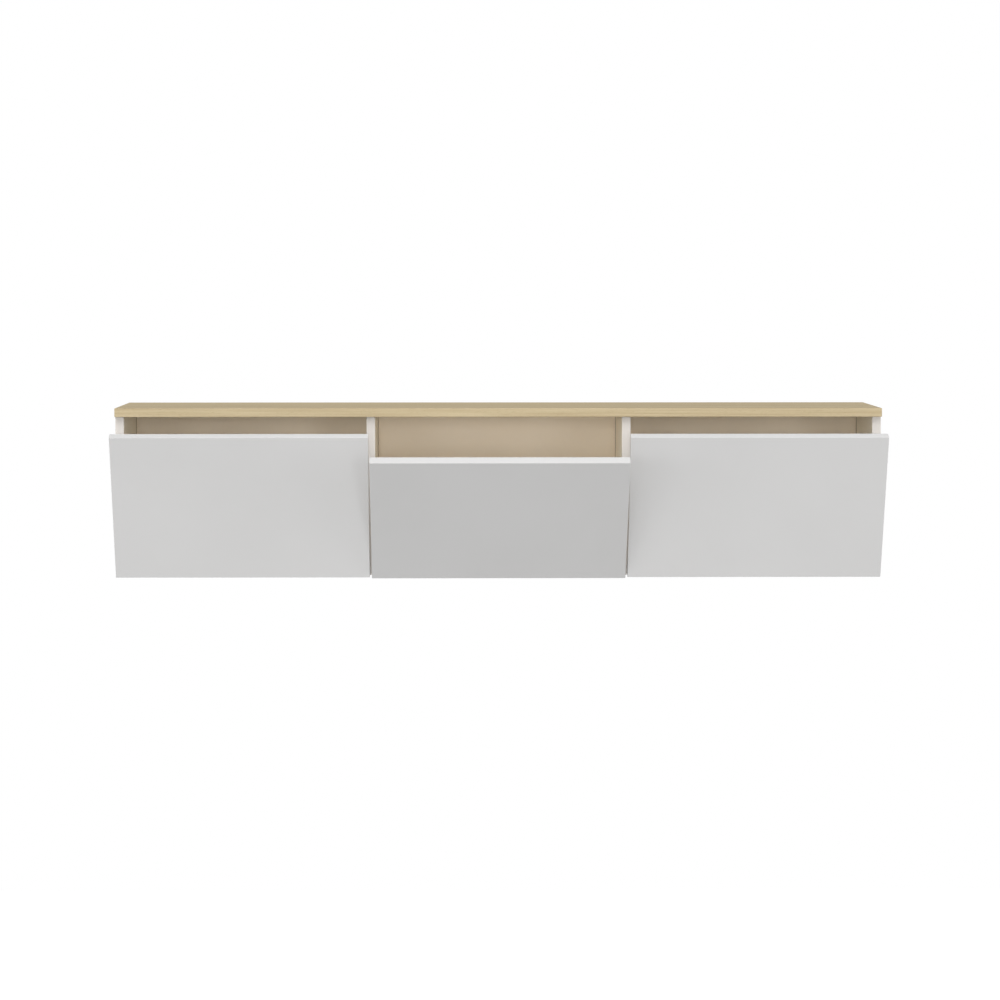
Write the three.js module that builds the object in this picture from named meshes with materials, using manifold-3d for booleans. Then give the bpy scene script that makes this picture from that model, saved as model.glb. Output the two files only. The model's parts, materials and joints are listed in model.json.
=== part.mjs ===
// A floating media console: an oak-topped white carcass of three bays, hung on a wall rail, with
// three drop-down flaps. Each flap turns on two bottom hinges, is held by a friction stay whose rod
// slides through a swivelling brake block, and opens by a push latch.
//
// Millimetres, +Z up, +X to the right seen from the front, and the front faces -Y. The origin is the
// middle of the wall rail's rear face, on the wall. The flaps stand partly open.

import * as THREE from 'three';
import { mergeVertices } from 'three/addons/utils/BufferGeometryUtils.js';
import { RoundedBoxGeometry } from 'three/addons/geometries/RoundedBoxGeometry.js';
import Module from 'manifold-3d';

const wasm = await Module();
wasm.setup();

// Carcass
const consoleWidth = 1600;
const consoleHeight = 350;
const carcassDepth = 320;
const boardThickness = 18;
const topThickness = 18;
const edgeRadius = 0.8;
const serviceDepth = 30;
const backThickness = 3;
const backGrooveDepth = 6;
const backEdgeGap = 1;
const backBottomMargin = 2;

// Flaps
const flapThickness = 18;
const flapFaceGap = 2;
const flapSideGap = 4;
const flapEndMargin = 1;
const flapTopGap = 3;
const flapBottomMargin = 1;
const sideFlapAngle = THREE.MathUtils.degToRad(24.5);
const middleFlapAngle = THREE.MathUtils.degToRad(39.7);
const fullOpenAngle = THREE.MathUtils.degToRad(90);

// Hinges
const hingeInset = 75;
const pinSetback = 5.5;
const pinRise = 3.7;
const hingePinRadius = 1.5;
const knuckleRadius = 3.2;
const centreKnuckleLength = 14;
const outerKnuckleLength = 10;
const leafThickness = 1.2;
const flapLeafHeight = 42;
const flapLeafHoleLow = 16;
const flapLeafHoleHigh = 34;
const baseLeafWidth = 42;
const baseLeafReach = 34;
const baseLeafHoleSpacing = 26;
const baseLeafHoleReach = 22;
const knuckleClearance = 0.5;
const leafLowerGap = 1;

// Stays
const stayRadius = 120;
const stayPinOffset = 20;
const stayMountAngle = THREE.MathUtils.degToRad(56);
const stayPlateLength = 44;
const stayPlateHeight = 22;
const stayPlateThickness = 2;
const stayPlateHoleSpacing = 30;
const stayStudRadius = 3;
const stayStudLength = 7;
const stayBlockLength = 24;
const stayBlockHeight = 15;
const stayBlockWeb = 1.5;
const stayBlockWall = 2.8;
const stayBlockRounding = 2;
const rodRadius = 3;
const rodEyeRadius = 6.5;
const rodEyeThickness = 6.4;
const rodStopRadius = 4.5;
const rodStopLength = 4;
const rodOpenMargin = 3;
const bracketPlateThickness = 2;
const bracketPlateHeight = 40;
const bracketInnerReach = 9;
const bracketOuterReach = 15;
const bracketEarThickness = 2.5;
const bracketEarRadius = 7;
const bracketPinRadius = 2.5;
const bracketPinHeadRadius = 4.2;
const bracketPinHeadThickness = 1.5;
const bracketHoleSpacing = 26;
const bracketHoleReach = 8;

// Push latches
const latchDrop = 112;
const latchSetback = 4;
const latchBodyLength = 58;
const latchBodyHeight = 16;
const latchBodyThickness = 14;
const latchBodyRounding = 1.5;
const latchFlangeThickness = 2;
const latchFlangeHeight = 34;
const latchFlangeLength = 22;
const latchFlangeSetback = 18;
const latchHoleSpacing = 25;
const latchBoreDepth = 27;
const plungerRadius = 4;
const plungerLength = 22;
const plungerChamfer = 0.8;
const strikeRadius = 6.8;
const strikeThickness = 1.2;

// Cable grommets
const grommetHeight = 78;
const grommetBoreRadius = 27;
const grommetSleeveWall = 2.4;
const grommetSleeveLength = 9;
const grommetFlangeRadius = 34;
const grommetFlangeThickness = 1.6;

// Wall rail and hangers
const railHeight = 40;
const railSheet = 2;
const railLipOffset = 6;
const railLipHeight = 16;
const railEndGap = 3;
const railSlotPitch = 200;
const railSlotMargin = 60;
const railSlotLength = 16;
const railSlotWidth = 6.5;
const railSlotDrop = 8;
const hangerTopGap = 32;
const hangerSheet = 2;
const hangerFront = 26;
const hangerRear = 9.5;
const hangerRise = 30;
const hangerDrop = 35;
const hangerWidth = 18;
const hangerHoleDrop = 24;
const hookThickness = 4;
const hookNutThickness = 10;
const hookNutSize = 16;
const hookNutFront = 21;
const hookBridgeHeight = 5;
const hookTongueThickness = 3;
const hookTongueGap = 1.2;
const hookTongueLength = 11;
const hangerScrewRadius = 2.5;
const hangerScrewHeadRadius = 4.5;
const hangerScrewHeadThickness = 3;
const hangerScrewLength = 16;
const hangerScrewSlotWidth = 1;
const hangerScrewSlotLength = 6;
const hangerScrewSlotDepth = 1.4;
const accessHoleRadius = 5;

// Fastener holes and fits
const screwHoleRadius = 2.2;
const screwHeadRadius = 4;
const seatGap = 0.3;
const runningGap = 0.3;
const overrun = 2;
const roundSides = 18;
const screwHoleSides = 10;
const grommetSides = 32;

// Sizes that follow from the ones above
const innerWidth = consoleWidth - 2 * boardThickness;
const underTop = consoleHeight - topThickness;
const backFront = -(serviceDepth + backThickness);
const flapWidth = (consoleWidth - 2 * flapEndMargin - 2 * flapSideGap) / 3;
const flapHeight = underTop - flapTopGap - flapBottomMargin;
const flapPitch = flapWidth + flapSideGap;
const dividerX = flapPitch / 2;
const middleBayWidth = 2 * dividerX - boardThickness;
const sideBayWidth = innerWidth / 2 - dividerX - boardThickness / 2;
const sideBayX = innerWidth / 2 - sideBayWidth / 2;
const innerBoardDepth = carcassDepth + backFront - seatGap;

const hingeY = -(carcassDepth + flapFaceGap + pinSetback);
const hingeZ = flapBottomMargin + pinRise;
const flapLeafWidth = centreKnuckleLength + 2 * (outerKnuckleLength + runningGap);

// A flap is carried at the hinge axis, and the stay's two pivots lie at one radius from that axis.
// The rod between them then turns at exactly half the flap's rate.
const stayPinInward = pinSetback + stayPinOffset;
const stayPinAngle = Math.acos(stayPinInward / stayRadius);
const stayPinUp = stayRadius * Math.sin(stayPinAngle);
const stayMountY = hingeY + stayRadius * Math.cos(stayMountAngle);
const stayMountZ = hingeZ + stayRadius * Math.sin(stayMountAngle);
const rodSlope = (angle) => (stayPinAngle + stayMountAngle + angle - Math.PI) / 2;
const pivotDistance = (angle) => 2 * stayRadius * Math.sin((stayPinAngle - stayMountAngle + angle) / 2);
const rodLength = pivotDistance(fullOpenAngle) + stayBlockLength / 2 + rodStopLength + rodOpenMargin;
const stayPlateOut = seatGap + stayPlateThickness;
const stayStudOut = stayPlateOut + stayStudLength;
const rodOut = stayStudOut + runningGap + stayBlockWeb + runningGap + rodRadius;
const stayBlockOut = rodOut + rodRadius + runningGap + stayBlockWall;

const latchHeight = underTop - latchDrop;
const latchOut = seatGap + latchBodyThickness / 2;
const latchFront = -carcassDepth + latchSetback;
const plungerTip = -carcassDepth - flapFaceGap + seatGap + strikeThickness + runningGap;

const railCentreHeight = underTop - hangerTopGap - hangerRise;
const railLength = innerWidth - 2 * railEndGap;
const railSlotGaps = Math.floor((railLength - 2 * railSlotMargin) / railSlotPitch);

// Finishes
const oak = new THREE.MeshStandardMaterial({ color: 0xcdb98f, roughness: 0.55, metalness: 0 });
const white = new THREE.MeshStandardMaterial({ color: 0xe4e1dc, roughness: 0.5, metalness: 0 });
const lacquer = new THREE.MeshStandardMaterial({ color: 0xe6e6e6, roughness: 0.4, metalness: 0 });
const plastic = new THREE.MeshStandardMaterial({ color: 0xd8d8d6, roughness: 0.5, metalness: 0 });
const steel = new THREE.MeshStandardMaterial({ color: 0xb8babd, roughness: 0.35, metalness: 1 });
const zinc = new THREE.MeshStandardMaterial({ color: 0xa9acb0, roughness: 0.45, metalness: 1 });

// Shapes
function solidOf(geometry) {
  const bare = geometry.clone();
  bare.deleteAttribute('normal');
  bare.deleteAttribute('uv');
  const merged = mergeVertices(bare);
  return new wasm.Manifold(new wasm.Mesh({
    numProp: 3,
    vertProperties: new Float32Array(merged.attributes.position.array),
    triVerts: new Uint32Array(merged.index.array),
  }));
}

function geometryOf(solid) {
  const mesh = solid.getMesh();
  const geometry = new THREE.BufferGeometry();
  geometry.setAttribute('position', new THREE.BufferAttribute(mesh.vertProperties, mesh.numProp));
  geometry.setIndex(new THREE.BufferAttribute(mesh.triVerts, 1));
  geometry.computeVertexNormals();
  return geometry;
}

const middleOf = ([low, high]) => (low + high) / 2;
const lengthOf = ([low, high]) => high - low;
const around = (centre, length) => [centre - length / 2, centre + length / 2];

function placedSolid(geometry, xSpan, ySpan, zSpan) {
  geometry.translate(middleOf(xSpan), middleOf(ySpan), middleOf(zSpan));
  return solidOf(geometry);
}

// A plain box between three spans
function box(xSpan, ySpan, zSpan) {
  const geometry = new THREE.BoxGeometry(lengthOf(xSpan), lengthOf(ySpan), lengthOf(zSpan));
  return placedSolid(geometry, xSpan, ySpan, zSpan);
}

// A box with every edge rounded
function easedBox(xSpan, ySpan, zSpan, radius) {
  const sizes = [lengthOf(xSpan), lengthOf(ySpan), lengthOf(zSpan)];
  return placedSolid(new RoundedBoxGeometry(...sizes, 1, radius), xSpan, ySpan, zSpan);
}

function cylinderX(xSpan, y, z, radius) {
  const geometry = new THREE.CylinderGeometry(radius, radius, lengthOf(xSpan), roundSides);
  geometry.rotateZ(-Math.PI / 2);
  geometry.translate(middleOf(xSpan), y, z);
  return solidOf(geometry);
}

function cylinderY(x, ySpan, z, radius, sides = roundSides) {
  const geometry = new THREE.CylinderGeometry(radius, radius, lengthOf(ySpan), sides);
  geometry.translate(x, middleOf(ySpan), z);
  return solidOf(geometry);
}

// A screw's countersunk hole through a sheet: it narrows from the head's radius on the sheet's front
// to the hole's radius on its back. The direction is the way that the head faces.
function countersink(centre, direction, thickness) {
  const depth = thickness + overrun;
  const spread = (screwHeadRadius - screwHoleRadius) * overrun / thickness;
  const mouth = new THREE.CylinderGeometry(
    screwHeadRadius + spread, screwHoleRadius, depth, screwHoleSides);
  mouth.translate(0, (depth - thickness) / 2, 0);
  const through = new THREE.CylinderGeometry(
    screwHoleRadius, screwHoleRadius, thickness + 2 * overrun, screwHoleSides);
  const turn = new THREE.Quaternion().setFromUnitVectors(new THREE.Vector3(0, 1, 0), direction);
  const cutters = [mouth, through].map((geometry) => {
    geometry.applyQuaternion(turn);
    geometry.translate(centre.x, centre.y, centre.z);
    return solidOf(geometry);
  });
  return cutters[0].add(cutters[1]);
}

const cut = (solid, ...cutters) => cutters.reduce((left, cutter) => left.subtract(cutter), solid);
const join = (solid, ...others) => others.reduce((whole, other) => whole.add(other), solid);

function addPiece(parent, name, solid, material) {
  const mesh = new THREE.Mesh(geometryOf(solid), material);
  mesh.name = name;
  parent.add(mesh);
}

function addGroup(parent, x, y, z, angle) {
  const group = new THREE.Group();
  group.position.set(x, y, z);
  group.rotation.x = angle;
  parent.add(group);
  return group;
}

// The span between two distances from a wall's face, where inward is the way into the bay
function outFrom(wallX, inward, near, far) {
  const ends = [wallX + inward * near, wallX + inward * far];
  return [Math.min(...ends), Math.max(...ends)];
}

// Boards
function topPanel() {
  const board = easedBox(
    around(0, consoleWidth), [-(carcassDepth + flapFaceGap + flapThickness), 0],
    [underTop, consoleHeight], edgeRadius);
  const groove = box(
    around(0, innerWidth + 2 * backGrooveDepth), [backFront - runningGap, runningGap - serviceDepth],
    [underTop - overrun, underTop + backGrooveDepth]);
  return cut(board, groove);
}

function sidePanel(side) {
  const outer = side * consoleWidth / 2;
  const board = easedBox(
    outFrom(outer, -side, 0, boardThickness), [-carcassDepth, 0], [0, underTop - seatGap], edgeRadius);
  const groove = box(
    outFrom(outer - side * boardThickness, side, -overrun, backGrooveDepth),
    [backFront - runningGap, runningGap - serviceDepth], [-overrun, underTop + overrun]);
  return cut(board, groove);
}

function divider(side) {
  return easedBox(
    around(side * dividerX, boardThickness), [-carcassDepth, innerBoardDepth - carcassDepth],
    [boardThickness + seatGap, underTop - seatGap], edgeRadius);
}

function bottomPanel() {
  return easedBox(
    around(0, innerWidth - 2 * seatGap), [-carcassDepth, innerBoardDepth - carcassDepth],
    [0, boardThickness], edgeRadius);
}

function backPanel(bayCentres) {
  const grip = backGrooveDepth - backEdgeGap;
  const thickness = [backFront, -serviceDepth];
  const through = [backFront - overrun, overrun - serviceDepth];
  const holeRadius = grommetBoreRadius + grommetSleeveWall + runningGap;
  const holes = bayCentres.map((x) => cylinderY(x, through, grommetHeight, holeRadius, grommetSides));
  const access = [-1, 1].map((side) => {
    const x = middleOf(outFrom(side * innerWidth / 2, -side, seatGap, seatGap + hangerWidth));
    return cylinderY(x, through, railCentreHeight, accessHoleRadius);
  });
  return cut(
    box(around(0, innerWidth + 2 * grip), thickness, [backBottomMargin, underTop + grip]),
    ...holes, ...access);
}

// A turned ring that lines the cable hole, with its flange on the bay's side
function cableGrommet() {
  const sleeveRadius = grommetBoreRadius + grommetSleeveWall;
  const flangeFront = -(seatGap + grommetFlangeThickness);
  const sleeveEnd = grommetSleeveLength - seatGap;
  const outline = [
    new THREE.Vector2(grommetBoreRadius, flangeFront),
    new THREE.Vector2(grommetFlangeRadius, flangeFront),
    new THREE.Vector2(grommetFlangeRadius, -seatGap),
    new THREE.Vector2(sleeveRadius, -seatGap),
    new THREE.Vector2(sleeveRadius, sleeveEnd),
    new THREE.Vector2(grommetBoreRadius, sleeveEnd),
    new THREE.Vector2(grommetBoreRadius, flangeFront),
  ];
  return solidOf(new THREE.LatheGeometry(outline, grommetSides));
}

// Flap, drawn closed about its hinge axis
function flapBoard(hingePlaces) {
  const board = easedBox(
    around(0, flapWidth), [pinSetback - flapThickness, pinSetback],
    [-pinRise, flapHeight - pinRise], edgeRadius);
  const notchReach = knuckleRadius + knuckleClearance;
  const cutters = hingePlaces.flatMap((x) => [
    box(
      around(x, flapLeafWidth + 2 * knuckleClearance), [-notchReach, pinSetback + overrun],
      [-(pinRise + overrun), notchReach]),
    box(
      around(x, flapLeafWidth + 2 * seatGap),
      [pinSetback - leafThickness - seatGap, pinSetback + overrun],
      [0, flapLeafHeight + seatGap]),
  ]);
  return cut(board, ...cutters);
}

// Hinge leaves, drawn closed about the pin
const pinBore = (length) => cylinderX(
  around(0, length + 2 * overrun), 0, 0, hingePinRadius + runningGap);

function hingeFlapLeaf() {
  const sheet = [pinSetback - leafThickness, pinSetback];
  const plateBottom = knuckleRadius + leafLowerGap;
  const plate = box(around(0, flapLeafWidth), sheet, [plateBottom, flapLeafHeight]);
  const knuckles = [-1, 1].flatMap((side) => {
    const span = outFrom(side * flapLeafWidth / 2, -side, 0, outerKnuckleLength);
    return [
      box(span, sheet, [knuckleRadius - leafThickness, plateBottom + leafThickness]),
      box(span, [0, pinSetback], [knuckleRadius - leafThickness, knuckleRadius]),
      cylinderX(span, 0, 0, knuckleRadius),
    ];
  });
  const faceOut = new THREE.Vector3(0, 1, 0);
  const holes = [flapLeafHoleLow, flapLeafHoleHigh].map((height) => countersink(
    new THREE.Vector3(0, pinSetback - leafThickness / 2, height), faceOut, leafThickness));
  return cut(join(plate, ...knuckles), pinBore(flapLeafWidth), ...holes);
}

function hingeBaseLeaf() {
  const stripFront = pinSetback + (flapFaceGap - leafThickness) / 2;
  const strip = [stripFront, stripFront + leafThickness];
  const plateBottom = boardThickness - hingeZ + seatGap;
  const sheet = [plateBottom, plateBottom + leafThickness];
  const centre = around(0, centreKnuckleLength);
  const leaf = join(
    box(around(0, baseLeafWidth), [stripFront, stripFront + baseLeafReach], sheet),
    box(centre, strip, [-knuckleRadius, plateBottom + leafThickness]),
    box(centre, [0, stripFront + leafThickness], [-knuckleRadius, leafThickness - knuckleRadius]),
    cylinderX(centre, 0, 0, knuckleRadius));
  const faceUp = new THREE.Vector3(0, 0, 1);
  const holes = [-1, 1].map((side) => countersink(
    new THREE.Vector3(
      side * baseLeafHoleSpacing / 2, stripFront + baseLeafHoleReach, middleOf(sheet)),
    faceUp, leafThickness));
  return cut(leaf, pinBore(centreKnuckleLength), ...holes);
}

const hingePin = () => cylinderX(around(0, flapLeafWidth), 0, 0, hingePinRadius);

// Stay pieces. Each is drawn about its own pivot, with the bay's wall at wallX.
function stayMount(wallX, inward) {
  const plate = box(
    outFrom(wallX, inward, seatGap, stayPlateOut), around(0, stayPlateLength),
    around(0, stayPlateHeight));
  const stud = cylinderX(outFrom(wallX, inward, stayPlateOut - overrun / 2, stayStudOut), 0, 0,
    stayStudRadius);
  const faceIn = new THREE.Vector3(inward, 0, 0);
  const holes = [-1, 1].map((end) => countersink(
    new THREE.Vector3(
      wallX + inward * (stayPlateOut - stayPlateThickness / 2), end * stayPlateHoleSpacing / 2, 0),
    faceIn, stayPlateThickness));
  return cut(join(plate, stud), ...holes);
}

function stayBlock(wallX, inward) {
  const body = easedBox(
    outFrom(wallX, inward, stayPlateOut + runningGap, stayBlockOut), around(0, stayBlockLength),
    around(0, stayBlockHeight), stayBlockRounding);
  const studBore = cylinderX(
    outFrom(wallX, inward, stayPlateOut - overrun, stayStudOut + runningGap), 0, 0,
    stayStudRadius + runningGap);
  const rodBore = cylinderY(
    wallX + inward * rodOut, around(0, stayBlockLength + 2 * overrun), 0, rodRadius + runningGap);
  return cut(body, studBore, rodBore);
}

function stayRod(wallX, inward) {
  const x = wallX + inward * rodOut;
  const bar = cylinderY(x, [rodEyeRadius / 2, rodLength], 0, rodRadius);
  const stop = cylinderY(x, [rodLength - rodStopLength, rodLength], 0, rodStopRadius);
  const eye = cylinderX(around(x, rodEyeThickness), 0, 0, rodEyeRadius);
  const hole = cylinderX(
    around(x, rodEyeThickness + 2 * overrun), 0, 0, bracketPinRadius + runningGap);
  return cut(join(bar, stop, eye), hole);
}

function stayBracket(wallX, inward) {
  const eyeFar = rodOut + rodEyeThickness / 2 + runningGap;
  const eyeNear = rodOut - rodEyeThickness / 2 - runningGap;
  const earFar = eyeFar + bracketEarThickness;
  const plateBack = seatGap - stayPinOffset;
  const plateFront = plateBack + bracketPlateThickness;
  const ear = outFrom(wallX, inward, eyeFar, earFar);
  const plate = box(
    outFrom(wallX, inward, eyeFar - bracketInnerReach, earFar + bracketOuterReach),
    [plateBack, plateFront], around(0, bracketPlateHeight));
  const solid = join(
    plate,
    box(ear, [plateBack, 0], around(0, 2 * bracketEarRadius)),
    cylinderX(ear, 0, 0, bracketEarRadius),
    cylinderX(outFrom(wallX, inward, eyeNear - bracketPinHeadThickness, earFar), 0, 0,
      bracketPinRadius),
    cylinderX(outFrom(wallX, inward, eyeNear - bracketPinHeadThickness, eyeNear), 0, 0,
      bracketPinHeadRadius));
  const faceOut = new THREE.Vector3(0, 1, 0);
  const holes = [-1, 1].map((end) => countersink(
    new THREE.Vector3(
      wallX + inward * (earFar + bracketHoleReach), plateFront - bracketPlateThickness / 2,
      end * bracketHoleSpacing / 2),
    faceOut, bracketPlateThickness));
  return cut(solid, ...holes);
}

// Push latch
function latchHousing(wallX, inward) {
  const x = wallX + inward * latchOut;
  const flangeFront = latchFront + latchFlangeSetback;
  const flange = [flangeFront, flangeFront + latchFlangeLength];
  const solid = join(
    easedBox(
      outFrom(wallX, inward, seatGap, seatGap + latchBodyThickness),
      [latchFront, latchFront + latchBodyLength], around(0, latchBodyHeight), latchBodyRounding),
    box(
      outFrom(wallX, inward, seatGap, seatGap + latchFlangeThickness), flange,
      around(0, latchFlangeHeight)));
  const bore = cylinderY(
    x, [latchFront - overrun, latchFront + latchBoreDepth], 0, plungerRadius + runningGap);
  const faceIn = new THREE.Vector3(inward, 0, 0);
  const holes = [-1, 1].map((end) => countersink(
    new THREE.Vector3(
      wallX + inward * (seatGap + latchFlangeThickness / 2), middleOf(flange),
      end * latchHoleSpacing / 2),
    faceIn, latchFlangeThickness));
  return cut(solid, bore, ...holes);
}

function latchPlunger() {
  const outline = [
    new THREE.Vector2(0, 0),
    new THREE.Vector2(plungerRadius - plungerChamfer, 0),
    new THREE.Vector2(plungerRadius, plungerChamfer),
    new THREE.Vector2(plungerRadius, plungerLength),
    new THREE.Vector2(0, plungerLength),
  ];
  return solidOf(new THREE.LatheGeometry(outline, roundSides));
}

const latchStrike = () => cylinderY(
  0, [pinSetback + seatGap, pinSetback + seatGap + strikeThickness], 0, strikeRadius);

// Wall rail: a web on the wall, and a lip that stands off it for the hooks to drop behind
function wallRail() {
  const across = around(0, railLength);
  const top = railHeight / 2;
  const lipFront = -(railLipOffset + railSheet);
  const lipBottom = top - railLipHeight;
  const slots = Array.from({ length: railSlotGaps + 1 }, (_, index) => {
    const x = (index - railSlotGaps / 2) * railSlotPitch;
    const straight = railSlotLength - railSlotWidth;
    const through = [-(railSheet + overrun), overrun];
    return join(
      box(around(x, straight), through, around(-railSlotDrop, railSlotWidth)),
      cylinderY(x - straight / 2, through, -railSlotDrop, railSlotWidth / 2),
      cylinderY(x + straight / 2, through, -railSlotDrop, railSlotWidth / 2));
  });
  return cut(
    join(
      box(across, [-railSheet, 0], [-top, lipBottom + railSheet]),
      box(across, [lipFront, 0], [lipBottom, lipBottom + railSheet]),
      box(across, [lipFront, lipFront + railSheet], [lipBottom, top])),
    ...slots);
}

// Hanger pieces, drawn about the rail's height, with the side panel's inner face at wallX
function hangerBody(wallX, inward) {
  const depth = [-hangerFront, -hangerRear];
  const width = outFrom(wallX, inward, seatGap, seatGap + hangerWidth);
  const wallHole = (height) => countersink(
    new THREE.Vector3(
      wallX + inward * (seatGap + hangerSheet / 2), -(hangerFront + hangerRear) / 2, height),
    new THREE.Vector3(inward, 0, 0), hangerSheet);
  return cut(
    join(
      box(outFrom(wallX, inward, seatGap, seatGap + hangerSheet), depth, [-hangerDrop, hangerRise]),
      box(width, depth, [-hangerDrop, hangerSheet - hangerDrop]),
      box(width, [-hangerFront, hangerSheet - hangerFront], [-hangerDrop, hangerRise])),
    cylinderY(
      middleOf(width), [-(hangerFront + overrun), hangerSheet + overrun - hangerFront], 0,
      hangerScrewRadius + runningGap),
    wallHole(-hangerHoleDrop), wallHole(hangerHoleDrop));
}

function hangerHook(wallX, inward) {
  const x = wallX + inward * (seatGap + hangerWidth / 2);
  const plate = around(x, hookThickness);
  const nut = [-hookNutFront, hookNutThickness - hookNutFront];
  const lipRear = -railLipOffset;
  const tongue = [lipRear + hookTongueGap, lipRear + hookTongueGap + hookTongueThickness];
  const bridgeBottom = railHeight / 2 + seatGap;
  const bridgeTop = bridgeBottom + hookBridgeHeight;
  return cut(
    join(
      box(around(x, hookNutSize - hookThickness), nut, around(0, hookNutSize)),
      box(plate, nut, [0, bridgeTop]),
      box(plate, [-hookNutFront, tongue[1]], [bridgeBottom, bridgeTop]),
      box(plate, tongue, [bridgeTop - hookTongueLength, bridgeTop])),
    cylinderY(
      x, [nut[0] - overrun, nut[1] + overrun], 0, hangerScrewRadius + runningGap));
}

function hangerScrew(wallX, inward) {
  const x = wallX + inward * (seatGap + hangerWidth / 2);
  const headBack = -(hangerFront + runningGap);
  const headFront = headBack - hangerScrewHeadThickness;
  const slotDepth = [headFront - overrun, headFront + hangerScrewSlotDepth];
  return cut(
    join(
      cylinderY(x, [headFront, headBack], 0, hangerScrewHeadRadius),
      cylinderY(x, [headFront, headBack + hangerScrewLength], 0, hangerScrewRadius)),
    box(around(x, hangerScrewSlotLength), slotDepth, around(0, hangerScrewSlotWidth)),
    box(around(x, hangerScrewSlotWidth), slotDepth, around(0, hangerScrewSlotLength)));
}

// Assembly
const floatingMediaConsole = new THREE.Group();
const carcass = addGroup(floatingMediaConsole, 0, 0, -railCentreHeight, 0);

// The stay is on the bay's left wall where staySide is -1, and the latch is on the other wall.
const bays = [
  { name: 'left', x: -sideBayX, flapX: -flapPitch, width: sideBayWidth, angle: sideFlapAngle, staySide: -1 },
  { name: 'middle', x: 0, flapX: 0, width: middleBayWidth, angle: middleFlapAngle, staySide: -1 },
  { name: 'right', x: sideBayX, flapX: flapPitch, width: sideBayWidth, angle: sideFlapAngle, staySide: 1 },
];

addPiece(carcass, 'top_panel', topPanel(), oak);
addPiece(carcass, 'left_side_panel', sidePanel(-1), white);
addPiece(carcass, 'right_side_panel', sidePanel(1), white);
addPiece(carcass, 'left_divider', divider(-1), white);
addPiece(carcass, 'right_divider', divider(1), white);
addPiece(carcass, 'bottom_panel', bottomPanel(), white);
addPiece(carcass, 'back_panel', backPanel(bays.map((bay) => bay.x)), white);

for (const bay of bays) {
  const hingePlaces = [-1, 1].map((side) => side * (flapWidth / 2 - hingeInset));
  const flapGroup = addGroup(carcass, bay.flapX, hingeY, hingeZ, bay.angle);
  addPiece(flapGroup, `${bay.name}_flap`, flapBoard(hingePlaces), lacquer);
  hingePlaces.forEach((x, index) => {
    const hinge = `${bay.name}_flap_${['left', 'right'][index]}_hinge`;
    const fixedGroup = addGroup(carcass, bay.flapX + x, hingeY, hingeZ, 0);
    addPiece(fixedGroup, `${hinge}_base_leaf`, hingeBaseLeaf(), steel);
    addPiece(fixedGroup, `${hinge}_pin`, hingePin(), steel);
    addPiece(addGroup(flapGroup, x, 0, 0, 0), `${hinge}_flap_leaf`, hingeFlapLeaf(), steel);
  });

  const stayWall = bay.staySide * bay.width / 2;
  const stayInward = -bay.staySide;
  const mountGroup = addGroup(carcass, bay.x, stayMountY, stayMountZ, 0);
  const blockGroup = addGroup(carcass, bay.x, stayMountY, stayMountZ, rodSlope(bay.angle));
  const bracketGroup = addGroup(flapGroup, bay.x - bay.flapX, stayPinInward, stayPinUp, 0);
  const rodGroup = addGroup(
    flapGroup, bay.x - bay.flapX, stayPinInward, stayPinUp, rodSlope(bay.angle) - bay.angle);
  addPiece(mountGroup, `${bay.name}_stay_mount`, stayMount(stayWall, stayInward), zinc);
  addPiece(blockGroup, `${bay.name}_stay_block`, stayBlock(stayWall, stayInward), plastic);
  addPiece(bracketGroup, `${bay.name}_stay_bracket`, stayBracket(stayWall, stayInward), zinc);
  addPiece(rodGroup, `${bay.name}_stay_rod`, stayRod(stayWall, stayInward), steel);

  const latchWall = -bay.staySide * bay.width / 2;
  const latchInward = bay.staySide;
  const latchX = bay.x + latchWall + latchInward * latchOut;
  const housingGroup = addGroup(carcass, bay.x, 0, latchHeight, 0);
  const plungerGroup = addGroup(carcass, latchX, plungerTip, latchHeight, 0);
  const strikeGroup = addGroup(flapGroup, latchX - bay.flapX, 0, latchHeight - hingeZ, 0);
  addPiece(housingGroup, `${bay.name}_latch_housing`, latchHousing(latchWall, latchInward), plastic);
  addPiece(plungerGroup, `${bay.name}_latch_plunger`, latchPlunger(), plastic);
  addPiece(strikeGroup, `${bay.name}_latch_strike`, latchStrike(), steel);

  const grommetGroup = addGroup(carcass, bay.x, backFront, grommetHeight, 0);
  addPiece(grommetGroup, `${bay.name}_cable_grommet`, cableGrommet(), plastic);
}

addPiece(floatingMediaConsole, 'wall_rail', wallRail(), steel);
for (const [name, side] of [['left', -1], ['right', 1]]) {
  const wallX = side * innerWidth / 2;
  addPiece(floatingMediaConsole, `${name}_hanger_body`, hangerBody(wallX, -side), steel);
  addPiece(floatingMediaConsole, `${name}_hanger_hook`, hangerHook(wallX, -side), zinc);
  addPiece(floatingMediaConsole, `${name}_hanger_screw`, hangerScrew(wallX, -side), steel);
}

export default floatingMediaConsole;
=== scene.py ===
"""A floating media console: its finishes, fasteners, light and camera, around the modelled part."""

import json
import math

import bmesh
import bpy
from mathutils import Matrix, Vector


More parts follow.
